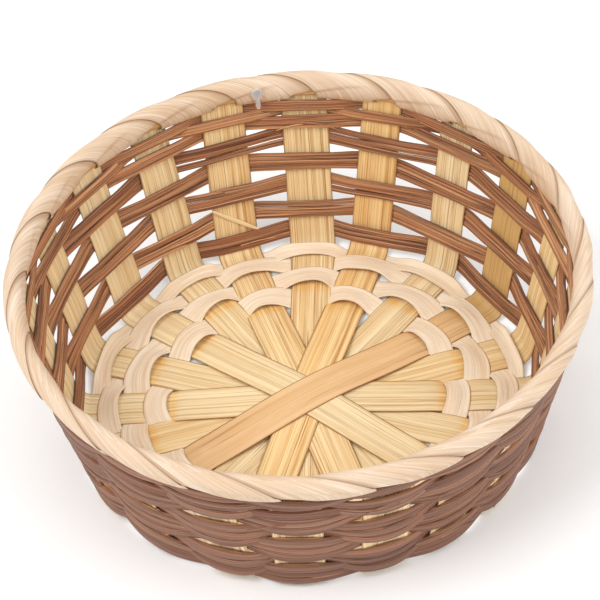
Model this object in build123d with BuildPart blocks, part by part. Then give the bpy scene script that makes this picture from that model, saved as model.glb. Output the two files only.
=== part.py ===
from build123d import *
from math import atan2, cos, degrees, radians, sin, tan
import os

# Round woven basket: bamboo splints crossed at the middle of the base and turned up as the
# stakes of the wall, four chip rings that lock the base, split-cane rows woven round the wall,
# and a rim of two hoops lashed with a wide chip strip.
#
# Millimetres, +Z up. The origin is the centre of the footprint on the resting surface.

# ---------------------------------------------------------------- overall form
foot_radius = 81.2              # middle of the splints where the base turns up into the wall
rim_radius = 96.4               # middle of the rim section
rim_level = 66.3                # height of the middle of the rim section

# ---------------------------------------------------------------- splints and stakes
splint_count = 10               # each one is two opposite stakes and the base between them
splint_width = 14.0
splint_thickness = 0.5
stack_pitch = 0.54              # from one splint to the next where all ten cross
stack_start = 0.11              # how far the lowest splint is lifted where all ten cross
stack_order = (8, 4, 2, 10, 6, 1, 5, 7, 3, 9)      # splint numbers from the lowest up
layer_gap = 0.8                 # height between the two lays where neighbours last overlap
crossing_flat = 22.5            # half length of the level middle of every splint
crossing_end = 45.5             # where neighbouring splints stop overlapping
settled_radius = 49.5           # where all the splints have come down to one level
foot_bend = 2.0
crossing_bend = 4.0
stake_top_level = 69.0          # the stakes end between the two rim hoops

# ---------------------------------------------------------------- base rings
ring_thickness = 0.8
ring_clearance = 0.15           # between a ring and the splints it passes over or under
ring_spans = ((50.0, 56.8), (57.2, 66.4), (66.8, 74.2), (74.6, 78.4))
ring_half_ramps = (0.45, 1.3, 2.6, 3.6)            # half run of the step between two splints

# ---------------------------------------------------------------- wall rows
strand_height = 2.6
strand_thickness = 1.7
strand_pitch = 2.75
strand_clearance = 0.12         # between a strand and the stakes it passes
strand_bend = 8.0
stake_edge_margin = 1.2         # how far a strand runs straight past the edge of a stake
row_levels = (6.75, 16.8, 26.6, 36.3, 45.4, 52.7, 56.75, 59.4)
row_strands = (3, 3, 3, 3, 3, 2, 1, 1)

# ---------------------------------------------------------------- rim
wrap_half_width = 3.4           # half the rim's thickness across the wall
wrap_half_height = 5.5          # half the rim's height along the wall
wrap_thickness = 0.6
wrap_turns = 20                 # one turn passes between each pair of stakes
wrap_gap = 0.12
wrap_slant = 45                 # degrees from upright at which one turn meets the next
wrap_spare_angle = 4            # degrees past each slanting end before it is cut
stake_slot = 1.6                # opening under the rim that the stakes pass through
hoop_thickness = 1.3
hoop_height = 6.4
inner_hoop_clearance = 0.12
outer_hoop_clearance = 0.42     # the flat stakes' edges stand outside their middles

# ---------------------------------------------------------------- tag fastener
tag_angle = 100                 # degrees round the rim, from +X
tag_paddle_length = 4.6
tag_paddle_width = 4.2
tag_paddle_thickness = 1.0
tag_stem_radius = 0.5
tag_stem_length = 3.6
tag_corner_radius = 0.4
tag_clearance = 0.15

# ---------------------------------------------------------------- worked out
arm_count = 2 * splint_count
arm_step = 360 / arm_count
splint_level = ring_thickness + ring_clearance + splint_thickness / 2
lean = degrees(atan2(rim_radius - foot_radius, rim_level - splint_level))
ring_swing = splint_thickness / 2 + ring_clearance + ring_thickness / 2
strand_swing = (
    splint_thickness / 2 + strand_clearance + strand_thickness / 2
    + strand_height / 2 * tan(radians(lean))
)

os.makedirs("parts", exist_ok=True)


def save(part, name):
    """Label one finished piece and write it to its own file."""
    part.label = name
    export_step(part, f"parts/{name}.step")


def arm_angle(arm):
    """Direction of a stake, in degrees from +X; stakes are numbered clockwise from -X."""
    return 180 - arm_step * (arm - 1)


def wall_radius(level):
    """Middle of the stakes at a height."""
    return foot_radius + (level - splint_level) * tan(radians(lean))


def upright_plane(angle):
    """Vertical plane through the axis, with its local X pointing out at an angle."""
    outward = (cos(radians(angle)), sin(radians(angle)), 0)
    sideways = (sin(radians(angle)), -cos(radians(angle)), 0)
    return Plane(origin=(0, 0, 0), x_dir=outward, z_dir=sideways)


def across_wall(distance):
    """Point of the rim section at a distance outward from its middle, square to the wall."""
    return (
        rim_radius + distance * cos(radians(lean)),
        rim_level - distance * sin(radians(lean)),
    )


# ---------------------------------------------------------------- splints
def splint_half_path(number):
    """Middle line of one arm, from the crossing out to the top of its stake."""
    rank = stack_order.index(number)
    is_upper = rank >= splint_count / 2
    rise = stack_start + rank * stack_pitch
    if is_upper:
        rise += layer_gap - stack_pitch
    path = [(crossing_flat, splint_level + rise)]
    if is_upper:
        path.append((crossing_end, splint_level + layer_gap))
        path.append((settled_radius, splint_level))
    else:
        path.append((crossing_end, splint_level))
    path.append((foot_radius, splint_level))
    path.append((wall_radius(stake_top_level), stake_top_level))
    return path


def make_splint(number):
    """One bamboo strip: level across the stack, down to the base, and up both walls."""
    half = splint_half_path(number)
    path = [(-x, z) for x, z in reversed(half)] + half
    bends = [crossing_bend] * (len(path) - 2)
    bends[0] = foot_bend
    bends[-1] = foot_bend
    with BuildPart() as splint:
        with BuildSketch(upright_plane(arm_angle(number))):
            with BuildLine():
                FilletPolyline(*path, radius=bends)
                offset(amount=splint_thickness / 2, side=Side.BOTH, mode=Mode.REPLACE)
            make_face()
        extrude(amount=splint_width / 2, both=True)
    save(splint.part, f"splint_{number:02d}")


# ---------------------------------------------------------------- base rings
def ring_sector(span, half_ramp, goes_down):
    """The stretch of a ring between two neighbouring splints, stepping from one to the next."""
    inner, outer = span
    swing = ring_swing if goes_down else -ring_swing
    reach = outer * sin(radians(arm_step))
    half = ring_thickness / 2
    step = [(-reach, swing), (-half_ramp, swing), (half_ramp, -swing), (reach, -swing)]
    upper = [(x, splint_level + z + half) for x, z in step]
    lower = [(x, splint_level + z - half) for x, z in reversed(step)]
    bisector = Plane(origin=(0, 0, 0), x_dir=(0, 1, 0), z_dir=(1, 0, 0))
    beyond = 2 * outer
    half_width = beyond * tan(radians(arm_step / 2))
    with BuildPart() as sector:
        with BuildSketch(bisector):
            Polygon(*upper, *lower, align=None)
        extrude(amount=beyond)
        with BuildSketch(Plane.XY.offset(-splint_level)):
            Circle(outer)
            Circle(inner, mode=Mode.SUBTRACT)
            wedge = [(0, 0), (beyond, -half_width), (beyond, half_width)]
            Polygon(*wedge, align=None, mode=Mode.INTERSECT)
        extrude(amount=4 * splint_level, mode=Mode.INTERSECT)
    return sector.part


def make_base_ring(number):
    """A flat chip band that passes over every second splint and under the others."""
    span = ring_spans[number - 1]
    half_ramp = ring_half_ramps[number - 1]
    # Odd rings lie over the odd stakes, even rings over the even ones.
    first_bisector = arm_angle(number) - arm_step / 2
    rising = ring_sector(span, half_ramp, goes_down=False)
    falling = ring_sector(span, half_ramp, goes_down=True)
    with BuildPart() as ring:
        with PolarLocations(0, splint_count, start_angle=first_bisector):
            add(rising)
        with PolarLocations(0, splint_count, start_angle=first_bisector + arm_step):
            add(falling)
    save(ring.part, f"base_ring_{number}")


# ---------------------------------------------------------------- wall strands
def strand_points(level, row):
    """Corners of a strand's middle line: straight across each stake, slanting between."""
    half_straight = splint_width / 2 + stake_edge_margin
    points = []
    for arm in range(1, arm_count + 1):
        is_inside = (arm - row) % 2 == 0
        radius = wall_radius(level) + (-strand_swing if is_inside else strand_swing)
        angle = radians(arm_angle(arm))
        for along in (half_straight, -half_straight):
            x = radius * cos(angle) - along * sin(angle)
            y = radius * sin(angle) + along * cos(angle)
            points.append((x, y))
    return points


def make_strand(row, strand):
    """One strand of split cane, woven in and out of the stakes right round the wall."""
    first = row_levels[row - 1] - strand_pitch * (row_strands[row - 1] - 1) / 2
    level = first + strand_pitch * (strand - 1)
    with BuildPart() as cane:
        with BuildSketch(Plane.XY.offset(level - strand_height / 2)):
            with BuildLine():
                FilletPolyline(*strand_points(level, row), radius=strand_bend, close=True)
            make_face()
            offset(amount=strand_thickness / 2, mode=Mode.REPLACE)
            offset(amount=-strand_thickness, mode=Mode.SUBTRACT)
        extrude(amount=strand_height)
    save(cane.part, f"wall_row_{row}_strand_{strand}")


# ---------------------------------------------------------------- rim
def make_hoop(name, side, clearance):
    """A flat bamboo hoop, inside (-1) or outside (+1) the tops of the stakes."""
    distance = splint_thickness / 2 + clearance + hoop_thickness / 2
    with BuildPart() as hoop:
        with BuildSketch(Plane.XZ):
            with Locations(across_wall(side * distance)):
                Rectangle(hoop_thickness, hoop_height, rotation=-lean)
        revolve(axis=Axis.Z)
    save(hoop.part, name)


def slanted_cut(angle, shift):
    """Plane where one turn of the rim lashing meets the next."""
    outward = (cos(radians(angle)), sin(radians(angle)), 0)
    slant = radians(wrap_slant)
    facing = (
        -sin(radians(angle)) * cos(slant),
        cos(radians(angle)) * cos(slant),
        -sin(slant),
    )
    middle = (rim_radius * outward[0], rim_radius * outward[1], rim_level)
    return Plane(origin=middle, x_dir=outward, z_dir=facing).offset(shift)


def make_rim_wrap():
    """The lashing: one slanting turn of chip strip between each pair of stakes."""
    first = wrap_spare_angle
    last = first + arm_step
    with BuildPart() as turn:
        with BuildSketch(Plane.XZ):
            with Locations((rim_radius, rim_level)):
                Ellipse(wrap_half_width, wrap_half_height, rotation=-lean)
                Ellipse(
                    wrap_half_width - wrap_thickness,
                    wrap_half_height - wrap_thickness,
                    rotation=-lean,
                    mode=Mode.SUBTRACT,
                )
            slot_drop = wrap_half_height
            slot_x = rim_radius - slot_drop * sin(radians(lean))
            slot_z = rim_level - slot_drop * cos(radians(lean))
            with Locations((slot_x, slot_z)):
                Rectangle(stake_slot, wrap_half_height, rotation=-lean, mode=Mode.SUBTRACT)
        revolve(axis=Axis.Z, revolution_arc=last + wrap_spare_angle)
        split(bisect_by=slanted_cut(first, wrap_gap / 2), keep=Keep.TOP)
        split(bisect_by=slanted_cut(last, -wrap_gap / 2), keep=Keep.BOTTOM)
    with BuildPart() as wrap:
        with PolarLocations(0, wrap_turns):
            add(turn.part)
    save(wrap.part, "rim_wrap")


# ---------------------------------------------------------------- tag fastener
def make_tag_fastener():
    """A clear plastic tag end, lying on the inner face of the rim with its stem down."""
    standoff = wrap_half_width + tag_clearance + tag_paddle_thickness / 2
    x, z = across_wall(-standoff)
    outward = (cos(radians(tag_angle)), sin(radians(tag_angle)), 0)
    up = (
        outward[0] * sin(radians(lean)),
        outward[1] * sin(radians(lean)),
        cos(radians(lean)),
    )
    middle = Vector(x * outward[0], x * outward[1], z)
    stem_plane = Plane(origin=middle, z_dir=up, x_dir=outward)
    with BuildPart() as tag:
        with BuildSketch(stem_plane.offset(-tag_paddle_length / 2)):
            RectangleRounded(tag_paddle_thickness, tag_paddle_width, tag_corner_radius)
        extrude(amount=tag_paddle_length)
        with BuildSketch(stem_plane.offset(-tag_paddle_length / 2)):
            Circle(tag_stem_radius)
        extrude(amount=-tag_stem_length)
    save(tag.part, "tag_fastener")


for number in range(1, splint_count + 1):
    make_splint(number)
for number in range(1, len(ring_spans) + 1):
    make_base_ring(number)
for row, count in enumerate(row_strands, start=1):
    for strand in range(1, count + 1):
        make_strand(row, strand)
make_hoop("rim_inner_hoop", -1, inner_hoop_clearance)
make_hoop("rim_outer_hoop", 1, outer_hoop_clearance)
make_rim_wrap()
make_tag_fastener()
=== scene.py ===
"""Looks of a round woven basket, built round its CAD frame.

Every strip is meshed where its CAD node lies: bamboo splints that cross on the base and turn
up as stakes, chip rings on the base, split cane round the wall, and the lashed rim. The loose
sliver and the frays have no CAD node.
Shapes are worked out in millimetres in the frame's axes, and turned to metres in add_mesh().
Stakes are numbered clockwise from -X, as in the CAD: splint n is stakes n and n + 10.
"""

import bpy
import random
from bisect import bisect_right
from math import atan2, copysign, cos, floor, hypot, pi, radians, sin, sqrt
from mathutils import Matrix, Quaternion, Vector, noise


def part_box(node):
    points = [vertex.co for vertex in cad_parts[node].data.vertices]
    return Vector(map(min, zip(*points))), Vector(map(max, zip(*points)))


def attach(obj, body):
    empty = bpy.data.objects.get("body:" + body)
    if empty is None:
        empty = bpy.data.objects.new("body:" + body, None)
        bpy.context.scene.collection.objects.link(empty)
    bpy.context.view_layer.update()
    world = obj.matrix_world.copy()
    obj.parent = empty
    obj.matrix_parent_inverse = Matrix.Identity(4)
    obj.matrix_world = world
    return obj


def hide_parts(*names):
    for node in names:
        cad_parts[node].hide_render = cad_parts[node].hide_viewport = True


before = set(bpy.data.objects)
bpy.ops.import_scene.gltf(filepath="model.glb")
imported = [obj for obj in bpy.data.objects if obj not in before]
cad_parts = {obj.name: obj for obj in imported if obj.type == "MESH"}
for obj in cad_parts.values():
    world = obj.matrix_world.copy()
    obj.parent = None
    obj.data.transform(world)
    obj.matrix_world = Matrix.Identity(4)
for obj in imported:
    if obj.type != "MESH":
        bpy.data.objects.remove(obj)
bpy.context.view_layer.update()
rng = random.Random(20)

MM = 0.001


def box_mm(node):
    """Lowest and highest corner of a CAD node, in millimetres."""
    low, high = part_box(node)
    return [c / MM for c in low], [c / MM for c in high]


# ---------------------------------------------------------------- sizes taken from the frame
SPLINTS = sorted(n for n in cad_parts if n.startswith("splint_"))
RINGS = sorted(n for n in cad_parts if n.startswith("base_ring_"))
STRANDS = sorted(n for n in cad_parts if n.startswith("wall_row_"))
STAKES = 2 * len(SPLINTS)
STEP = 360 / STAKES

RIM_LOW, RIM_HIGH = box_mm("rim_wrap")
RIM_LEVEL = (RIM_LOW[2] + RIM_HIGH[2]) / 2
RIM_REACH = 3.54                # outermost point of the rim section from its middle
RIM_RADIUS = RIM_HIGH[0] - RIM_REACH
RING_LOW, RING_HIGH = box_mm(RINGS[0])
SPLINT_LEVEL = (RING_LOW[2] + RING_HIGH[2]) / 2
STAKE_TOP = box_mm(SPLINTS[0])[1][2]
FOOT_RADIUS = 81.2              # middle of the stakes where the wall leaves the base
LEAN = atan2(RIM_RADIUS - FOOT_RADIUS, RIM_LEVEL - SPLINT_LEVEL)

# ---------------------------------------------------------------- sizes of the visible strips
BASE_WIDTH = 14.8               # of every splint on the base
# Width of each splint where it stands up as its two stakes.
STAKE_WIDTHS = (15.4, 15.2, 15.6, 15.2, 16.4, 17.0, 15.0, 14.2, 15.8, 15.4)
SPLINT_THICKNESS = 0.5
STACK_PITCH = 0.46
STACK_ORDER = (8, 4, 2, 10, 6, 1, 5, 7, 3, 9)      # splint numbers from the lowest up
STACK_REACH = 47.0              # where the pile of crossing splints has come down to two lays
LAYER_GAP = 0.8                 # how far the upper half of the pile stays above the lower
LAYER_SETTLE = (43.0, 10.0)     # where it begins to come down on it, and over how far
# How far each splint lies off its even place on the base, in degrees.
SPLINT_DRIFT = (1.0, 0.8, -1.0, -1.0, 1.3, -0.7, 2.0, -1.0, -1.4, -1.0)
RING_PRESS = 0.32               # how far a base ring pushes a splint up or down
LAST_RING_PRESS = 0.4           # share of that at the outermost ring
ROW_PRESS = 0.22                # how far a wall strand pushes a stake in or out


def clamp(value, low=0.0, high=1.0):
    return max(low, min(high, value))


def smooth(value):
    """0 to 1 with level ends."""
    value = clamp(value)
    return value * value * (3 - 2 * value)


def mix(a, b, share):
    return a + (b - a) * share


def drift_noise(along, seed, scale):
    """Slow, seeded wander between -1 and 1."""
    return noise.noise(Vector((along / scale, seed * 7.31, seed * 1.7)))


def wall_radius(level):
    """Middle of the stakes at a height."""
    return mix(FOOT_RADIUS, RIM_RADIUS, (level - SPLINT_LEVEL) / (RIM_LEVEL - SPLINT_LEVEL))


def stake_angle(stake, level):
    """Direction of a stake in degrees: off its even place on the base, even at the rim."""
    drift = SPLINT_DRIFT[(stake - 1) % len(SPLINT_DRIFT)]
    share = 1 - clamp((level - SPLINT_LEVEL) / (RIM_LEVEL - SPLINT_LEVEL))
    return 180 - STEP * (stake - 1) + drift * share


# ---------------------------------------------------------------- meshes
def add_mesh(name, points, faces, grain, look, material):
    """A mesh piece. grain is (along, across, seed) in mm; look is (tint, lines, edge)."""
    mesh = bpy.data.meshes.new(name)
    mesh.from_pydata([(x * MM, y * MM, z * MM) for x, y, z in points], [], faces)
    for label, values in (("grain", grain), ("look", look)):
        layer = mesh.attributes.new(label, "FLOAT_VECTOR", "POINT")
        layer.data.foreach_set("vector", [c for value in values for c in value])
    mesh.shade_smooth()
    mesh.materials.append(material)
    piece = bpy.data.objects.new(name, mesh)
    bpy.context.collection.objects.link(piece)
    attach(piece, "root")
    return piece


def loft_faces(ring_count, ring_size, start=0, closed=False):
    """Quads between rings of points, with the first and last ring capped unless closed."""
    faces = []
    spans = ring_count if closed else ring_count - 1
    for i in range(spans):
        a = start + i * ring_size
        b = start + ((i + 1) % ring_count) * ring_size
        for j in range(ring_size):
            k = (j + 1) % ring_size
            faces.append((a + j, a + k, b + k, b + j))
    if not closed:
        last = start + (ring_count - 1) * ring_size
        faces.append(tuple(start + j for j in reversed(range(ring_size))))
        faces.append(tuple(last + j for j in range(ring_size)))
    return faces


def strip_section(columns, roundness=0.35):
    """Outline of a flat strip as (v, h): v across it from -1 to 1, h from -1 to 1 through it."""
    across = [-cos(pi * i / (columns - 1)) for i in range(columns)]
    across = [mix(v, -1 + 2 * i / (columns - 1), 1 - roundness) for i, v in enumerate(across)]
    upper = [(v, (1 - abs(v) ** 10) ** 0.5) for v in across]
    lower = [(v, -h) for v, h in reversed(upper[1:-1])]
    return upper + lower


def rounded_path(corners, reach, spacing):
    """Points along straight runs whose corners are curved over `reach` each side."""
    points = [corners[0]]
    for before, corner, after in zip(corners, corners[1:], corners[2:]):
        legs = []
        for other in (before, after):
            length = hypot(other[0] - corner[0], other[1] - corner[1])
            share = min(reach, 0.48 * length) / length
            legs.append((mix(corner[0], other[0], share), mix(corner[1], other[1], share)))
        for i in range(9):
            t = i / 8
            points.append(tuple(
                (1 - t) ** 2 * a + 2 * t * (1 - t) * c + t * t * b
                for a, c, b in zip(legs[0], corner, legs[1])
            ))
    points.append(corners[-1])
    return resample(points, spacing)


def resample(points, spacing):
    """The same line with evenly spaced points."""
    lengths = [0.0]
    for a, b in zip(points, points[1:]):
        lengths.append(lengths[-1] + hypot(b[0] - a[0], b[1] - a[1]))
    count = max(2, round(lengths[-1] / spacing))
    result = []
    j = 0
    for i in range(count + 1):
        target = lengths[-1] * i / count
        while j < len(points) - 2 and lengths[j + 1] < target:
            j += 1
        run = lengths[j + 1] - lengths[j]
        share = (target - lengths[j]) / run if run else 0
        result.append((mix(points[j][0], points[j + 1][0], share),
                       mix(points[j][1], points[j + 1][1], share)))
    return result


# ---------------------------------------------------------------- materials
def tone(red, green, blue):
    """A screen colour, 0 to 255, as the linear colour that shaders take."""
    def linear(value):
        value /= 255
        return value / 12.92 if value <= 0.04045 else ((value + 0.055) / 1.055) ** 2.4
    return (linear(red), linear(green), linear(blue), 1)


class Shader:
    """A new material, with short ways to add nodes and join them."""

    def __init__(self, name, roughness, specular=0.35):
        self.material = bpy.data.materials.new(name)
        self.material.use_nodes = True
        self.tree = self.material.node_tree
        self.bsdf = self.tree.nodes["Principled BSDF"]
        self.bsdf.inputs["Roughness"].default_value = roughness
        self.bsdf.inputs["Specular IOR Level"].default_value = specular

    def node(self, kind, inputs=(), **settings):
        """A node with its settings, and its inputs set or joined by name or number."""
        node = self.tree.nodes.new("ShaderNode" + kind)
        for key, value in settings.items():
            setattr(node, key, value)
        for key, value in dict(inputs).items():
            self.put(node.inputs[key], value)
        return node

    def put(self, socket, value):
        if isinstance(value, bpy.types.NodeSocket):
            self.tree.links.new(value, socket)
        else:
            socket.default_value = value

    def attribute(self, name):
        """The three numbers of a point attribute, as sockets."""
        source = self.node("Attribute", attribute_name=name)
        split = self.node("SeparateXYZ", {0: source.outputs["Vector"]})
        return [split.outputs[axis] for axis in "XYZ"]

    def math(self, operation, a, b=0.0, clamped=False):
        node = self.node("Math", {0: a, 1: b}, operation=operation, use_clamp=clamped)
        return node.outputs[0]

    def noise(self, grain, along, across, detail=3.0, seed_shift=0.0):
        """Noise stretched along the grain: scales are cycles per millimetre."""
        x = self.math("MULTIPLY", grain[0], along)
        y = self.math("MULTIPLY", grain[1], across)
        z = self.math("ADD", grain[2], seed_shift)
        place = self.node("CombineXYZ", {0: x, 1: y, 2: z})
        texture = self.node("TexNoise", {"Vector": place.outputs[0], "Scale": 1.0, "Detail": detail})
        return texture.outputs["Fac"]

    def ramp(self, value, low, high, low_out=0.0, high_out=1.0):
        """Value carried from one range to another, clamped."""
        node = self.node("MapRange", {
            "Value": value, "From Min": low, "From Max": high, "To Min": low_out, "To Max": high_out,
        })
        return node.outputs[0]

    def hairline(self, value, centre, width):
        """1 on the contour where value equals centre, down to 0 at width from it."""
        off = self.math("ABSOLUTE", self.math("SUBTRACT", value, centre))
        return self.ramp(off, 0.0, width, 1.0, 0.0)

    def blend(self, share, a, b):
        """Colour a going to colour b as share goes from 0 to 1."""
        node = self.node("Mix", {0: share, 6: a, 7: b}, data_type="RGBA")
        return node.outputs[2]

    def finish(self, colour, height, bump, distance=0.0003, roughness=None):
        """Colour and bump joined to the surface."""
        self.put(self.bsdf.inputs["Base Color"], colour)
        lump = self.node("Bump", {"Strength": bump, "Distance": distance, "Height": height})
        self.put(self.bsdf.inputs["Normal"], lump.outputs[0])
        if roughness is not None:
            self.put(self.bsdf.inputs["Roughness"], roughness)
        return self.material


def bamboo_material():
    """Split bamboo: pale bands with thin dark lines between the fibre bundles."""
    s = Shader("bamboo", 0.5)
    grain = s.attribute("grain")
    tint, lines, edge = s.attribute("look")
    bands = s.noise(grain, 0.006, 0.6, 1.0)
    bundles = s.noise(grain, 0.003, 1.1, 1.0, 3.7)
    broken = s.noise(grain, 0.05, 1.0, 2.0, 6.4)
    fibres = s.noise(grain, 0.02, 6.0, 3.0, 9.1)
    blotch = s.noise(grain, 0.06, 0.2, 3.0, 5.3)
    pale = s.blend(tint, tone(246, 226, 184), tone(248, 212, 142))
    deep = s.blend(tint, tone(234, 206, 156), tone(232, 178, 100))
    line = s.blend(tint, tone(168, 128, 82), tone(190, 122, 54))
    colour = s.blend(s.ramp(bands, 0.36, 0.64), pale, deep)
    light = s.math("MULTIPLY", s.ramp(fibres, 0.54, 0.68), 0.45)
    colour = s.blend(light, colour, tone(253, 241, 212))
    fleck = s.math("MULTIPLY", s.ramp(fibres, 0.44, 0.34), s.math("MULTIPLY", lines, 0.45))
    colour = s.blend(fleck, colour, line)
    thin = s.math("MULTIPLY", s.hairline(bundles, 0.5, 0.05), s.ramp(broken, 0.36, 0.56, 0.25, 1.0))
    colour = s.blend(s.math("MULTIPLY", thin, lines), colour, line)
    stain = s.math("MULTIPLY", s.ramp(blotch, 0.58, 0.8), 0.3)
    colour = s.blend(stain, colour, tone(214, 170, 108))
    colour = s.blend(s.math("MULTIPLY", edge, 0.6), colour, tone(196, 146, 86))
    height = s.math("SUBTRACT", fibres, thin)
    return s.finish(colour, height, 0.5, 0.0002, s.ramp(fibres, 0.3, 0.7, 0.42, 0.62))


def skin_material():
    """The smooth outer skin of bamboo: tan to olive, faint lines and a satin gloss."""
    s = Shader("bamboo_skin", 0.36, 0.45)
    grain = s.attribute("grain")
    tint, _, edge = s.attribute("look")
    broad = s.noise(grain, 0.014, 0.2, 2.0)
    fibres = s.noise(grain, 0.012, 4.0, 3.0, 4.4)
    splits = s.noise(grain, 0.003, 0.5, 1.0, 2.9)
    mottle = s.noise(grain, 0.09, 0.3, 4.0, 8.8)
    colour = s.blend(s.ramp(broad, 0.3, 0.7), tone(236, 196, 146), tone(220, 174, 118))
    colour = s.blend(s.math("MULTIPLY", tint, 0.75), colour, tone(196, 158, 92))
    faint = s.math("MULTIPLY", s.ramp(fibres, 0.56, 0.68), 0.3)
    colour = s.blend(faint, colour, tone(194, 142, 86))
    light = s.math("MULTIPLY", s.ramp(mottle, 0.55, 0.75), 0.35)
    colour = s.blend(light, colour, tone(244, 212, 168))
    split = s.math("MULTIPLY", s.hairline(splits, 0.5, 0.014), 0.6)
    colour = s.blend(split, colour, tone(140, 92, 52))
    colour = s.blend(s.math("MULTIPLY", edge, 0.6), colour, tone(168, 112, 62))
    return s.finish(colour, fibres, 0.16, 0.0002, s.ramp(mottle, 0.3, 0.7, 0.3, 0.46))


def chip_material(name, pale, deep, line, edge_colour):
    """Shaved wood chip: pale, matt and close grained, with short silky lines and pale patches of
    painted sheen.
    """
    s = Shader(name, 0.6, 0.3)
    grain = s.attribute("grain")
    tint, lines, edge = s.attribute("look")
    broad = s.noise(grain, 0.03, 0.12, 2.0)
    fibres = s.noise(grain, 0.04, 4.5, 4.0, 2.2)
    streaks = s.noise(grain, 0.014, 1.1, 2.0, 6.1)
    threads = s.noise(grain, 0.02, 1.9, 1.0, 3.4)
    painted_sheen_noise = s.noise(grain, 0.07, 1.6, 3.0, 8.3)
    colour = s.blend(s.ramp(broad, 0.32, 0.68), tone(*pale), tone(*deep))
    colour = s.blend(s.math("MULTIPLY", tint, 0.6), colour, tone(*line))
    streak = s.math("MULTIPLY", s.ramp(streaks, 0.5, 0.64), s.math("MULTIPLY", lines, 0.7))
    colour = s.blend(streak, colour, tone(*line))
    thread = s.math("MULTIPLY", s.hairline(threads, 0.5, 0.03), s.math("MULTIPLY", lines, 0.5))
    colour = s.blend(thread, colour, tone(*edge_colour))
    # Painted sheen: pale patches that stand in for soft highlights on the chip.
    painted_sheen = s.math("MULTIPLY", s.ramp(painted_sheen_noise, 0.52, 0.7), 0.4)
    colour = s.blend(painted_sheen, colour, tone(252, 243, 228))
    grey = s.math("MULTIPLY", s.ramp(fibres, 0.45, 0.33), 0.4)
    colour = s.blend(grey, colour, tone(206, 172, 136))
    colour = s.blend(edge, colour, tone(*edge_colour))
    height = s.math("SUBTRACT", s.math("ADD", fibres, streaks), thread)
    return s.finish(colour, height, 0.5, 0.0002, s.ramp(fibres, 0.3, 0.7, 0.5, 0.7))


def cane_material():
    """Split cane: orange brown inside with dark lines and painted highlight streaks; bark 1 is the
    purple-brown outside.
    """
    s = Shader("brown_cane", 0.5, 0.35)
    grain = s.attribute("grain")
    tint, _, bark = s.attribute("look")
    broad = s.noise(grain, 0.015, 0.4, 2.0)
    fibres = s.noise(grain, 0.02, 4.5, 4.0, 1.4)
    lights = s.noise(grain, 0.006, 1.3, 1.0, 7.7)
    cracks = s.noise(grain, 0.008, 1.0, 2.0, 4.6)
    specks = s.noise(grain, 0.5, 2.2, 3.0, 5.5)
    inner = s.blend(s.ramp(broad, 0.35, 0.65), tone(206, 144, 98), tone(162, 102, 64))
    # Painted highlight streaks along each strand from the lights noise, fainter on the bark side.
    painted_light = s.math("MULTIPLY", s.ramp(lights, 0.5, 0.62), 0.8)
    inner = s.blend(painted_light, inner, tone(236, 184, 136))
    outer = s.blend(s.ramp(broad, 0.35, 0.65), tone(158, 114, 90), tone(118, 80, 64))
    outer = s.blend(s.math("MULTIPLY", painted_light, 0.6), outer, tone(184, 126, 88))
    colour = s.blend(bark, inner, outer)
    colour = s.blend(s.math("MULTIPLY", tint, 0.65), colour, tone(118, 70, 50))
    dark = s.math("MULTIPLY", s.ramp(fibres, 0.47, 0.36), 0.8)
    colour = s.blend(dark, colour, tone(98, 56, 40))
    crack = s.math("MULTIPLY", s.hairline(cracks, 0.5, 0.045), 0.85)
    colour = s.blend(crack, colour, tone(70, 40, 30))
    light = s.math("MULTIPLY", s.ramp(fibres, 0.56, 0.68), 0.4)
    colour = s.blend(light, colour, tone(216, 166, 128))
    speck = s.math("MULTIPLY", s.ramp(specks, 0.6, 0.72), 0.4)
    colour = s.blend(speck, colour, tone(106, 66, 50))
    height = s.math("SUBTRACT", s.math("ADD", fibres, lights), crack)
    return s.finish(colour, height, 0.6, 0.00028, s.ramp(fibres, 0.3, 0.7, 0.42, 0.64))


def plastic_material():
    """Clear moulded plastic with a faint haze."""
    s = Shader("clear_plastic", 0.18, 0.5)
    s.bsdf.inputs["Transmission Weight"].default_value = 0.7
    s.bsdf.inputs["IOR"].default_value = 1.45
    place = s.node("TexCoord").outputs["Object"]
    haze = s.node("TexNoise", {"Vector": place, "Scale": 900.0, "Detail": 2.0}).outputs["Fac"]
    colour = s.blend(haze, tone(246, 248, 250), tone(226, 230, 236))
    return s.finish(colour, haze, 0.15, 0.0001)


BAMBOO = bamboo_material()
SKIN = skin_material()
CHIP = chip_material("chip", (254, 240, 216), (248, 224, 192), (232, 198, 158), (186, 166, 122))
RIM_CHIP = chip_material("rim_chip", (228, 206, 182), (214, 184, 152), (190, 152, 118), (150, 106, 70))
CANE = cane_material()
PLASTIC = plastic_material()


# ---------------------------------------------------------------- splints
# Half widths of the CAD rings, to find the middle of each from its outer edge.
RING_HALF_WIDTHS = (3.9, 4.6, 3.9, 2.4)
ROW_COUNT = max(int(n.split("_")[2]) for n in STRANDS)
ROW_LEVELS = []
for row in range(1, ROW_COUNT + 1):
    boxes = [box_mm(n) for n in STRANDS if n.split("_")[2] == str(row)]
    ROW_LEVELS.append((boxes[0][0][2] + boxes[-1][1][2]) / 2)


def ring_middle(ring):
    """Middle radius of a base ring."""
    return box_mm(RINGS[ring - 1])[1][0] - RING_HALF_WIDTHS[ring - 1]


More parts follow.
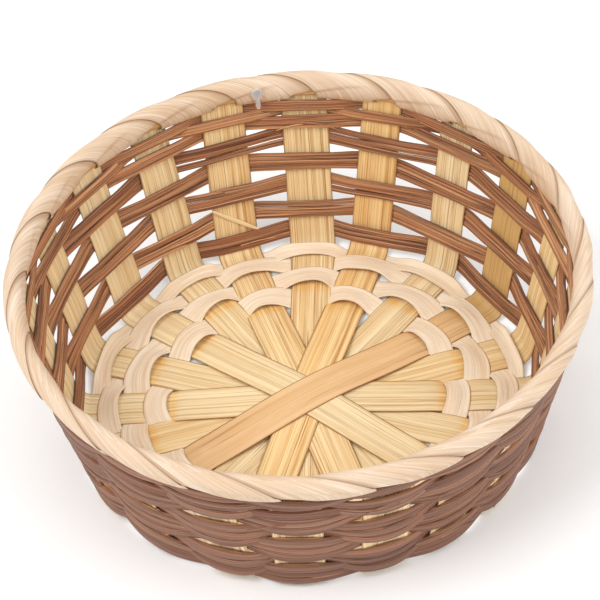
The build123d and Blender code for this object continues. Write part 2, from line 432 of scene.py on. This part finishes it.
def arm_corners(stake):
    """Middle line of one arm as (distance out, height), from the centre to the rim."""
    corners = [(0.0, SPLINT_LEVEL), (STACK_REACH - 2, SPLINT_LEVEL)]
    for ring in range(1, len(RINGS) + 1):
        is_over = (stake - ring) % 2 == 0
        push = -RING_PRESS if is_over else RING_PRESS
        if ring == len(RINGS):
            push *= LAST_RING_PRESS
        corners.append((ring_middle(ring), SPLINT_LEVEL + push))
    # The foot is rounded, so its corner is cut off by two points.
    for out, up in FOOT_CUT:
        corners.append((FOOT_RADIUS + out, SPLINT_LEVEL + up))
    for row, level in enumerate(ROW_LEVELS, start=1):
        is_inside = (stake - row) % 2 == 0
        push = ROW_PRESS if is_inside else -ROW_PRESS
        corners.append((wall_radius(level) + push, level))
    corners.append((wall_radius(STAKE_TOP), STAKE_TOP))
    return corners


def pile_height(number, reach):
    """How far a splint is lifted by those below it, at a distance from the centre."""
    rank = STACK_ORDER.index(number)
    fall = cos(pi / 2 * clamp(reach / STACK_REACH)) ** 2
    lift = rank * STACK_PITCH * fall
    if rank >= len(STACK_ORDER) // 2:
        settle = 1 - smooth((reach - LAYER_SETTLE[0]) / LAYER_SETTLE[1])
        lift += LAYER_GAP * (1 - fall) * settle
    return lift


SPLINT_COLUMNS = 17             # points across a splint
CORNER_REACH = 4.0              # the path's corners are curved over this each side
PATH_SPACING = 1.3
FOOT_CUT = ((-2.4, 0.0), (0.1, 2.6))    # the foot's two corners, from its sharp corner
ARM_TURN = 12.0                 # distance from the centre where an arm has its own direction
WIDTH_CHANGE = (55.0, 25.0)     # where the stake's width begins to take over, and over how far
FREE_RUN = 8.0                  # over which a splint begins to cup, past the pile
SPLINT_CUP = 0.12               # how far its middle then stands towards the inside
# Painted warm shade on a splint under the inner edge of a ring's arch, and how far it reaches:
ARCH_SHADE_OFFSET = 4.5               # from a ring's middle in to the edge of its arch
ARCH_SHADE_REACH = 3.0
# Tint and strength of the lines of each splint, by its number.
SPLINT_LOOKS = {
    1: (0.15, 0.6), 2: (0.2, 0.6), 3: (0.15, 0.55), 4: (0.15, 0.7), 5: (0.5, 0.9),
    6: (0.4, 1.0), 7: (0.75, 0.95), 8: (0.15, 0.75), 9: (0.05, 0.3), 10: (0.45, 0.5),
}
SKIN_SPLINT = 9


def make_splint(number):
    """One bamboo strip: both of its stakes and the base between them."""
    near = arm_corners(number)
    far = arm_corners(number + len(SPLINTS))
    corners = [(-x, z) for x, z in reversed(far[1:])] + near
    path = rounded_path(corners, CORNER_REACH, PATH_SPACING)
    section = strip_section(SPLINT_COLUMNS)
    tint, lines = SPLINT_LOOKS[number]
    is_skin = number == SKIN_SPLINT
    inner_ring = ring_middle(1 if number % 2 == 1 else 2) - ARCH_SHADE_OFFSET
    points, grain, look = [], [], []
    along = 0.0
    for i, (out, level) in enumerate(path):
        before = path[max(i - 1, 0)]
        after = path[min(i + 1, len(path) - 1)]
        length = hypot(after[0] - before[0], after[1] - before[1])
        tangent = ((after[0] - before[0]) / length, (after[1] - before[1]) / length)
        if i:
            along += hypot(out - path[i - 1][0], level - path[i - 1][1])
        stake = number if out > 0 else number + len(SPLINTS)
        # The two arms drift apart from the even angle as smoothly as they leave the centre.
        turn = smooth(abs(out) / ARM_TURN)
        near_angle = stake_angle(stake, level) - (0 if out > 0 else -180)
        middle_angle = stake_angle(number, SPLINT_LEVEL)
        angle = radians(mix(middle_angle, near_angle, turn))
        outward = Vector((cos(angle), sin(angle), 0))
        sideways = Vector((-sin(angle), cos(angle), 0))
        up = Vector((0, 0, 1))
        normal = -tangent[1] * outward + tangent[0] * up
        middle = outward * out + up * level
        wander = 0.35 * drift_noise(along, number, 40)
        spread = smooth((abs(out) - WIDTH_CHANGE[0]) / WIDTH_CHANGE[1])
        half = mix(BASE_WIDTH, STAKE_WIDTHS[number - 1], spread) / 2
        free = smooth((abs(out) - STACK_REACH) / FREE_RUN)
        # Painted warm shade under the arch of the first ring that lies over this splint.
        painted_light = max(0.0, 1 - abs(abs(out) - inner_ring) / ARCH_SHADE_REACH)
        for v, h in section:
            width = half * (1 + 0.02 * drift_noise(along, number + 20 * (v > 0), 18))
            cup = SPLINT_CUP * (1 - v * v)
            cup += 0.05 * drift_noise(along, number + 5 * round(4 * v), 9)
            point = middle + sideways * (v * width + wander)
            point += normal * (h * SPLINT_THICKNESS / 2 + cup * free)
            # The pile has come down well before the foot.
            reach = hypot(point.x, point.y)
            if reach < FOOT_RADIUS - 20:
                point.z += pile_height(number, reach)
            points.append(tuple(point))
            grain.append((along, v * width + wander, number * 13.7))
            # The skin side is greener up the wall, and the others take the painted warm shade under
            # the arch.
            tint_and_painted_shade = tint + (spread if is_skin else 0.9 * painted_light)
            # The other side is paler, with no painted shade.
            if h < 0 and not is_skin:
                tint_and_painted_shade = 0.0
            look.append((clamp(tint_and_painted_shade), lines, smooth((abs(v) - 0.93) / 0.07)))
    faces = loft_faces(len(path), len(section))
    name = f"bamboo_splint_{number:02d}"
    piece = add_mesh(name, points, faces, grain, look, SKIN if is_skin else BAMBOO)
    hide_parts(SPLINTS[number - 1])


def make_loose_sliver():
    """A sliver split off the fifth stake, lying aslant on its inner face."""
    stake, level = 5, 15.4
    drop, half_length, half_width, half_thickness = 6.4, 8.4, 1.15, 0.16
    clearance, lift = 0.75, 0.7     # from the stake's middle, and more towards the ends
    angle = radians(stake_angle(stake, level))
    outward = Vector((cos(angle), sin(angle), 0))
    sideways = Vector((-sin(angle), cos(angle), 0))
    up = Vector((sin(LEAN) * outward.x, sin(LEAN) * outward.y, cos(LEAN)))
    normal = sideways.cross(up)
    section = strip_section(7)
    steps = 24
    points, grain, look = [], [], []
    for i in range(steps + 1):
        share = 2 * i / steps - 1
        middle = outward * wall_radius(level) + Vector((0, 0, level))
        middle += sideways * (share * half_length) + up * (share * drop + 0.5 * share * share)
        middle -= normal * (clearance + lift * share * share)
        half = half_width * (1 - 0.6 * abs(share) ** 3)
        for v, h in section:
            point = middle + up * (v * half) + normal * (half_thickness * h)
            points.append(tuple(point))
            grain.append((share * half_length, v, 44))
            look.append((0.25, 0.5, 0.3 * smooth((abs(v) - 0.7) / 0.3)))
    faces = loft_faces(steps + 1, len(section))
    piece = add_mesh("loose_sliver", points, faces, grain, look, BAMBOO)


# ---------------------------------------------------------------- the weave
class Weave:
    """Where a strip going round the basket passes one side or the other of the stakes."""

    def __init__(self, level, first_side):
        self.start = stake_angle(1, level)
        self.turns = [self.start - stake_angle(n, level) for n in range(1, STAKES + 1)] + [360]
        self.first_side = first_side

    def at(self, azimuth):
        """From 1, inside or above a stake, to -1, outside or below the next."""
        turned = (self.start - azimuth) % 360
        i = bisect_right(self.turns, turned) - 1
        share = (turned - self.turns[i]) / (self.turns[i + 1] - self.turns[i])
        side = self.first_side if i % 2 == 0 else -self.first_side
        wave = side * cos(pi * share)
        return wave * (1.2 - 0.2 * wave * wave)


# ---------------------------------------------------------------- base rings
RING_VISIBLE_HALF_WIDTHS = (4.9, 4.9, 4.3, 3.3)
RING_SWING = (0.75, 0.75, 0.75, 0.55)       # how far the band rises and dips
RING_ARCH = (1.9, 1.9, 1.9, 0.9)            # how far its inner edge stands up over a splint
RING_BOW = (1.2, 1.2, 1.2, 0.2)             # how far it bows outward there
RING_EDGE = (0.25, 0.25, 0.25, 0.9)         # how much of the edge colour its outer edge has
RING_HALF_THICKNESS = 0.24
RING_WANDER = 16                # mm round the ring over which it changes
RING_POINTS = 720


def make_base_ring(ring):
    """A flat chip band over every second splint, arched over each and tucked under the next."""
    middle = ring_middle(ring)
    half_width = RING_VISIBLE_HALF_WIDTHS[ring - 1]
    swing, arch_height, bow_reach, edge_share = (
        sizes[ring - 1] for sizes in (RING_SWING, RING_ARCH, RING_BOW, RING_EDGE))
    is_last = ring == len(RINGS)
    first_side = 1 if ring % 2 == 1 else -1
    weave = Weave(SPLINT_LEVEL, first_side)
    section = strip_section(SPLINT_COLUMNS)
    points, grain, look = [], [], []
    seam = stake_angle(2 if first_side > 0 else 1, SPLINT_LEVEL)
    for i in range(RING_POINTS):
        azimuth = seam + 360 * i / RING_POINTS
        wave = weave.at(azimuth)
        angle = radians(azimuth)
        outward = Vector((cos(angle), sin(angle), 0))
        along = angle * middle
        over = clamp(wave)
        arch = arch_height * over * (1 + 0.7 * drift_noise(along, 20 + ring, RING_WANDER))
        bow = bow_reach * wave + 0.8 * drift_noise(along, 30 + ring, RING_WANDER)
        width = half_width * (0.96 + 0.22 * drift_noise(along, 40 + ring, RING_WANDER) - 0.05 * wave)
        above = smooth(0.5 + 0.8 * wave)
        for v, h in section:
            out = middle + bow + v * width
            # The inner edge stands up where the band arches over a splint.
            lift = arch * smooth(0.45 - 0.55 * v)
            level = SPLINT_LEVEL + swing * wave + lift
            if is_last:
                # The outermost band leans up against the stakes.
                level += above * (1.9 * smooth((v + 0.2) / 1.2) ** 1.5 + 0.25)
                out -= 0.5 * smooth(v) * over + 0.6 * (1 - above)
            level += RING_HALF_THICKNESS * h
            level += 0.07 * drift_noise(along, 60 + ring + 3 * round(3 * v), 8)
            points.append((out * outward.x, out * outward.y, level))
            grain.append((along, v * width, 50 + ring * 9.1))
            edge = edge_share * smooth((v - 0.86) / 0.14)
            # Painted shade along the inner edge where the band stands up over a splint.
            edge += 0.5 * over * smooth((-0.84 - v) / 0.16)
            # Painted shade where the band passes between two splints, going from over one to under the
            # next.
            painted_gap_shade = 0.18 * (1 - smooth(abs(wave) / 0.5))
            look.append((0.12 + 0.2 * drift_noise(along, 80 + ring, 30) + painted_gap_shade, 0.7, edge))
    faces = loft_faces(RING_POINTS, len(section), closed=True)
    piece = add_mesh(f"chip_ring_{ring}", points, faces, grain, look, CHIP)
    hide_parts(RINGS[ring - 1])


# ---------------------------------------------------------------- wall strands
CANE_POINTS = 20                # points round a strand
STRAND_STEPS = 600              # lengths that it is made of
INSIDE_REACH = 1.3              # from the stakes' middle to a strand's, where it passes inside
OUTSIDE_REACH = 1.9             # and where it passes outside at the back
FRONT_REACH = 1.35              # and outside at the front
SPLICE = 13.0                   # degrees over which the two ends of a strand lie together
SPLICE_SHIFT = 0.7              # how far the two ends lie one above the other
TWIST = 0.22                    # most that a strand turns about its own length, in radians
# On their outside passes at the front: how far each row hangs down, where a minus is up, and
# how much further apart its strands are.
ROW_SAG = (-2.1, 4.2, 0.6, 3.8, 0.6, 3.2, -0.4, 0.3)
ROW_SPREAD = (0.5, 1.1, 0.95, 0.95, 0.95, 0.95, 0.0, 0.0)
# At the back: how close the strands of a row lie, and how tall they are, as shares of the CAD's.
BACK_BUNCH = 0.82
ROW_PLUMP = (0.82, 0.82, 0.82, 0.82, 0.82, 1.05, 1.5, 1.5)


def cane_section(ridges):
    """Flattened half-round as (b, n): b up the wall and n outward, each about -1 to 1."""
    outline = []
    for i, ridge in enumerate(ridges):
        turn = 2 * pi * i / CANE_POINTS
        flatness = 0.75 if sin(turn) > 0 else 0.5
        b = copysign(abs(cos(turn)) ** 0.7, cos(turn))
        n = copysign(abs(sin(turn)) ** flatness, sin(turn))
        outline.append((b, n * (1 + ridge)))
    return outline


def front_share(angle):
    """0 at the back of the basket to 1 at the front, where the rows are beaten down closer."""
    return smooth(0.5 - 0.9 * sin(angle))


def make_strand(node):
    """One strand of split cane, in and out of the stakes, its ends tucked past each other."""
    row, strand = int(node.split("_")[2]), int(node.split("_")[4])
    seed = row * 10 + strand
    low, high = box_mm(node)
    row_level = ROW_LEVELS[row - 1]
    offset = (low[2] + high[2]) / 2 - row_level
    weave = Weave(row_level, 1 if row % 2 == 1 else -1)
    half_height = (high[2] - low[2]) / 2 * rng.uniform(0.94, 1.1)
    half_thickness = rng.uniform(0.66, 0.8)
    section = cane_section([rng.uniform(-0.14, 0.08) for _ in range(CANE_POINTS)])
    tint = rng.random() ** 2
    first_stake = rng.randrange(STAKES)
    freedom = 0.35 if row in (1, ROW_COUNT) else 1.0
    spread = ROW_SPREAD[row - 1]
    points, grain, look = [], [], []
    start = stake_angle(first_stake + 1, row_level) + SPLICE / 2
    for i in range(STRAND_STEPS + 1):
        turned = (360 + SPLICE) * i / STRAND_STEPS
        azimuth = start - turned
        angle = radians(azimuth)
        wave = weave.at(azimuth)
        inside = (wave + 1) / 2
        front = front_share(angle)
        # 1 where the strand is outside a stake at the front.
        outness = (1 - inside) * mix(0.1, 1.0, front)
        from_start, from_end = turned, 360 + SPLICE - turned
        taper = smooth(min(from_start, from_end) / (0.5 * SPLICE))
        shift = SPLICE_SHIFT * (smooth(from_end / SPLICE) - smooth(from_start / SPLICE))
        wander = 0.7 * noise.noise(Vector((cos(angle) * 2.2, sin(angle) * 2.2, row * 5.1)))
        wander += 0.4 * noise.noise(Vector((cos(angle) * 3, sin(angle) * 3, seed * 3.3)))
        bunch = mix(BACK_BUNCH, 1.0, front)
        plump = mix(ROW_PLUMP[row - 1], 1.0, front)
        level = row_level + offset * (bunch + spread * outness) - ROW_SAG[row - 1] * outness
        level += wander * freedom + shift
        outside_reach = mix(OUTSIDE_REACH, FRONT_REACH, front)
        radius = wall_radius(level) - wave * mix(outside_reach, INSIDE_REACH, inside)
        radius += 0.3 * noise.noise(Vector((cos(angle) * 4, sin(angle) * 4, seed * 1.9)))
        twist = TWIST * noise.noise(Vector((cos(angle) * 2, sin(angle) * 2, seed * 8.1)))
        along = radians(turned) * radius
        fat = mix(0.5, 1.0, taper) * (1 + 0.08 * drift_noise(along, seed, 22))
        tall = half_height * fat * (plump + outness)
        thick = half_thickness * mix(0.6, 1.0, taper) * (1 + 0.1 * outness)
        for b, n in section:
            across = b * tall * cos(twist) - n * thick * sin(twist)
            out = n * thick * cos(twist) + b * tall * sin(twist)
            r = radius + out * cos(LEAN) + across * sin(LEAN)
            z = level + across * cos(LEAN) - out * sin(LEAN)
            points.append((r * cos(angle), r * sin(angle), z))
            grain.append((along, b * tall + (3 if n > 0 else 0), seed * 4.3))
            look.append((tint, 0.5, smooth(0.5 + n * 1.5)))
    faces = loft_faces(STRAND_STEPS + 1, len(section))
    piece = add_mesh(f"cane_{row}_{strand}", points, faces, grain, look, CANE)
    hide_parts(node)


FRAY_COUNT = 26
FRAY_STEPS = 12
FRAY_ROOT = 0.72                # from a strand's middle to its face, where a fray starts
FRAY_HALF_WIDTH = 0.42
FRAY_HALF_THICKNESS = 0.14


def make_frays():
    """Fibres split off the strands, each from a strand's face to a tip that stands off it."""
    section = strip_section(5)
    points, faces, grain, look = [], [], [], []
    for i in range(FRAY_COUNT):
        is_inside = i % 2 == 0
        row = rng.randint(1, 6)
        # Stakes that the row passes on the chosen side.
        stake = 2 * rng.randrange(STAKES // 2) + (row if is_inside else row + 1) % 2
        level = ROW_LEVELS[row - 1] + rng.uniform(-2.4, 2.4)
        start = radians(stake_angle(stake, level)) + rng.uniform(-0.05, 0.05)
        near_front = front_share(start)
        length = rng.uniform(8, 17)
        way = rng.choice((-1, 1))
        climb = rng.uniform(-4, 4)
        rise = rng.uniform(0.8, 2.2)
        if is_inside:
            face = -INSIDE_REACH - FRAY_ROOT
        else:
            level -= ROW_SAG[row - 1] * near_front
            face = mix(OUTSIDE_REACH, FRONT_REACH, near_front) + FRAY_ROOT
        first = len(points)
        for j in range(FRAY_STEPS + 1):
            share = j / FRAY_STEPS
            z = level + climb * share ** 1.5
            radius = wall_radius(z) + face + copysign(rise * share ** 2, face)
            angle = start + way * share * length / radius
            half = FRAY_HALF_WIDTH * (1 - 0.75 * share)
            for v, h in section:
                r = radius + FRAY_HALF_THICKNESS * h
                points.append((r * cos(angle), r * sin(angle), z + v * half))
                grain.append((share * length, v * half, 200 + i * 3.3))
                look.append((0.0, 0.5, 0.0 if is_inside else 0.4))
        faces += loft_faces(FRAY_STEPS + 1, len(section), first)
    piece = add_mesh("cane_frays", points, faces, grain, look, CANE)


# ---------------------------------------------------------------- rim lashing
WRAP_TURNS = STAKES
WRAP_HALF_WIDTH = 2.4           # half the rim's thickness inside the lashing
WRAP_HALF_HEIGHT = 4.4
WRAP_OUTER_DROP = 0.4           # sets how much further down the outer face reaches
WRAP_STEPS = 64                 # lengths in each turn of the strip
WRAP_COLUMNS = 33               # points across it
WRAP_STRIP_WIDTH = 21.0
WRAP_SWAY = 0.21                # the strip runs aslant over the top and straight underneath
WRAP_WIDEST = 1.65              # most that a turn covers along the rim, in steps
FIBRE_SLANT = 0.6               # distance across the fibres for each mm along the rim
WRAP_LIFT = 0.3                 # of the strip off the hoops' rounded outline
OVER_LIFT = 0.65                # more where it lies over the turn before
CROWN_LIFT = 0.35               # and more along its middle


def wrap_point(azimuth, tau, lift):
    """Point of the rim surface: tau goes 0 to 1 from the top, down the inner face and round."""
    turn = 2 * pi * tau
    out = -(WRAP_HALF_WIDTH + lift) * sin(turn)
    outer_drop = WRAP_OUTER_DROP * max(0.0, -sin(turn)) * max(0.0, -cos(turn))
    along_wall = (WRAP_HALF_HEIGHT + lift) * cos(turn) * (1 + 2 * outer_drop)
    radius = RIM_RADIUS + out * cos(LEAN) + along_wall * sin(LEAN)
    level = RIM_LEVEL - out * sin(LEAN) + along_wall * cos(LEAN)
    angle = radians(azimuth)
    return (radius * cos(angle), radius * sin(angle), level)


def make_rim_wrap():
    """One long chip strip wound round the hoops, each turn over the edge of the last."""
    section = strip_section(WRAP_COLUMNS)
    points, grain, look = [], [], []
    turn_width = [rng.uniform(-0.07, 0.06) for _ in range(WRAP_TURNS + 2)]
    turn_tint = [rng.random() for _ in range(WRAP_TURNS + 2)]
    pitch = radians(STEP) * RIM_RADIUS
    girth = 2 * pi * sqrt((WRAP_HALF_WIDTH ** 2 + WRAP_HALF_HEIGHT ** 2) / 2)
    # Underneath, the middle of the strip passes midway between two stakes.
    width_below = WRAP_STRIP_WIDTH / pitch
    start = 90 + STEP * (1 + width_below / 2)
    total = WRAP_TURNS * WRAP_STEPS
    for i in range(total + 1):
        turns = i / WRAP_STEPS
        tau = turns % 1
        k = int(floor(turns))
        rate = 1 + 2 * pi * WRAP_SWAY * cos(2 * pi * tau)
        slope = rate * pitch / girth
        width = min(WRAP_STRIP_WIDTH * sqrt(1 + slope * slope) / pitch, WRAP_WIDEST)
        width *= 1 + mix(turn_width[k], turn_width[k + 1], tau)
        seam = start - STEP * (turns + WRAP_SWAY * sin(2 * pi * tau))
        along = turns * hypot(pitch, girth)
        tint = mix(turn_tint[k], turn_tint[k + 1], tau)
        # Where this turn starts to lie over the one before it.
        meeting = 2 / width - 1
        for v, h in section:
            azimuth = seam - (1 - v) / 2 * width * STEP
            over = smooth((v - meeting + 0.2) / 0.35)
            lift = WRAP_LIFT + OVER_LIFT * over + CROWN_LIFT * (1 - v * v)
            lift += 0.06 * drift_noise(along + 9 * v, 90, 7) + 0.2 * h
            points.append(wrap_point(azimuth, tau, lift))
            # The fibres run beside the edge that shows, which is the one at v = 1.
            across = (1 - v) / 2 * width * pitch * FIBRE_SLANT
            grain.append((along, across, 70 + 0.6 * k))
            # The next turn's edge shades this one just below it.
            shade = smooth(1 - abs(v + meeting) / 0.16) if meeting < 1 else 0.0
            edge = 0.5 * smooth((abs(v) - 0.94) / 0.06)
            look.append((0.15 * tint + 0.5 * shade, 0.5, clamp(edge + 0.55 * shade)))
    faces = loft_faces(total + 1, len(section))
    piece = add_mesh("rim_lashing", points, faces, grain, look, RIM_CHIP)
    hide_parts("rim_wrap")


# ---------------------------------------------------------------- rim hoops
HOOP_OUT = {-1: 1.25, 1: 1.37}  # how far the inner, -1, and outer hoop are from the rim's middle
HOOP_HALF_HEIGHT = 3.2
HOOP_HALF_THICKNESS = 0.6
HOOP_POINTS = 240


def make_hoop(node, name, side):
    """A flat bamboo hoop under the lashing, seen only between its turns."""
    section = strip_section(9)
    points, grain, look = [], [], []
    for i in range(HOOP_POINTS):
        angle = 2 * pi * i / HOOP_POINTS
        for v, h in section:
            out = side * HOOP_OUT[side] + HOOP_HALF_THICKNESS * h
            across = v * HOOP_HALF_HEIGHT
            radius = RIM_RADIUS + out * cos(LEAN) + across * sin(LEAN)
            level = RIM_LEVEL - out * sin(LEAN) + across * cos(LEAN)
            points.append((radius * cos(angle), radius * sin(angle), level))
            grain.append((angle * RIM_RADIUS, across, 90 + side))
            look.append((0.9, 0.6, 0.8))
    faces = loft_faces(HOOP_POINTS, len(section), closed=True)
    piece = add_mesh(name, points, faces, grain, look, BAMBOO)
    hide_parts(node)


# ---------------------------------------------------------------- tag fastener
def make_tag():
    """Clear plastic tag end: a rounded paddle on a thin stem."""
    low, high = box_mm("tag_fastener")
    middle = Vector([(a + b) / 2 for a, b in zip(low, high)])
    angle = atan2(middle.y, middle.x)
    outward = Vector((cos(angle), sin(angle), 0))
    sideways = Vector((-sin(angle), cos(angle), 0))
    up = Vector((sin(LEAN) * outward.x, sin(LEAN) * outward.y, cos(LEAN)))
    normal = sideways.cross(up)
    length = (high[2] - low[2]) / cos(LEAN)
    half_thickness = 0.55
    # Half width at a share of the length, from the end of the stem to the top of the paddle.
    profile = [(0.0, 0.3), (0.05, 0.8), (0.2, 1.0), (0.38, 0.9), (0.46, 1.1), (0.54, 1.8),
               (0.64, 2.2), (0.76, 2.3), (0.88, 2.0), (0.96, 1.3), (1.0, 0.4)]
    sides = 14
    points, grain, look = [], [], []
    for share, half in profile:
        base = middle + up * (share - 0.5) * length
        for j in range(sides):
            turn = 2 * pi * j / sides
            depth = min(half, half_thickness)
            point = base + sideways * half * cos(turn) + normal * depth * sin(turn)
            points.append(tuple(point))
            grain.append((share * length, turn, 99))
            look.append((0, 0, 0))
    faces = loft_faces(len(profile), sides)
    piece = add_mesh("tag_end", points, faces, grain, look, PLASTIC)
    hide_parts("tag_fastener")


# ---------------------------------------------------------------- stage
def make_floor():
    """Plain pale floor, in metres."""
    half = 4.0
    mesh = bpy.data.meshes.new("floor")
    corners = [(-half, -half, 0), (half, -half, 0), (half, half, 0), (-half, half, 0)]
    mesh.from_pydata(corners, [], [(0, 1, 2, 3)])
    s = Shader("floor", 0.9, 0.1)
    s.bsdf.inputs["Base Color"].default_value = tone(250, 250, 250)
    mesh.materials.append(s.material)
    floor_piece = bpy.data.objects.new("floor", mesh)
    bpy.context.collection.objects.link(floor_piece)


def add_light(name, place, size, power):
    """A square soft light that faces the basket."""
    light = bpy.data.lights.new(name, "AREA")
    light.size = size
    light.energy = power
    lamp = bpy.data.objects.new(name, light)
    lamp.location = place
    aim = Vector((0, 0, 0.03)) - Vector(place)
    lamp.rotation_euler = aim.to_track_quat("-Z", "Y").to_euler()
    bpy.context.collection.objects.link(lamp)


def make_lights():
    """White surroundings, with a stronger soft light from the left."""
    world = bpy.data.worlds.new("studio")
    world.use_nodes = True
    background = world.node_tree.nodes["Background"]
    background.inputs["Color"].default_value = (1, 1, 1, 1)
    background.inputs["Strength"].default_value = 0.95
    bpy.context.scene.world = world
    add_light("key", (-0.7, -0.5, 1.3), 0.7, 9)
    add_light("fill", (0.9, -0.4, 1.0), 1.0, 4.5)


# ---------------------------------------------------------------- camera
CAMERA_DISTANCE = 0.964         # metres
CAMERA_ELEVATION = 46.3
CAMERA_AZIMUTH = 3.9            # degrees round from looking along +Y
CAMERA_PITCH = -0.83
CAMERA_ROLL = -4.3
CAMERA_LENS = 166
SENSOR = 36


def make_camera():
    """A long lens that looks down into the basket from the front."""
    data = bpy.data.cameras.new("camera")
    data.lens = CAMERA_LENS
    data.sensor_width = SENSOR
    camera = bpy.data.objects.new("camera", data)
    elevation, azimuth = radians(CAMERA_ELEVATION), radians(CAMERA_AZIMUTH)
    aim = Vector((0, 0, RIM_LEVEL / 2 * MM))
    back = Vector((sin(azimuth), -cos(azimuth), 0)) * cos(elevation)
    camera.location = aim + CAMERA_DISTANCE * (back + Vector((0, 0, sin(elevation))))
    pitch = radians(90 - CAMERA_ELEVATION - CAMERA_PITCH)
    camera.rotation_mode = "QUATERNION"
    look = Quaternion((0, 0, 1), azimuth) @ Quaternion((1, 0, 0), pitch)
    camera.rotation_quaternion = look @ Quaternion((0, 0, 1), radians(CAMERA_ROLL))
    bpy.context.collection.objects.link(camera)
    bpy.context.scene.camera = camera


for number in range(1, len(SPLINTS) + 1):
    make_splint(number)
for ring in range(1, len(RINGS) + 1):
    make_base_ring(ring)
for node in STRANDS:
    make_strand(node)
make_loose_sliver()
make_rim_wrap()
make_hoop("rim_inner_hoop", "inner_hoop", -1)
make_hoop("rim_outer_hoop", "outer_hoop", 1)
make_tag()
make_frays()
make_floor()
make_lights()
make_camera()
bpy.context.scene.view_settings.view_transform = "Standard"
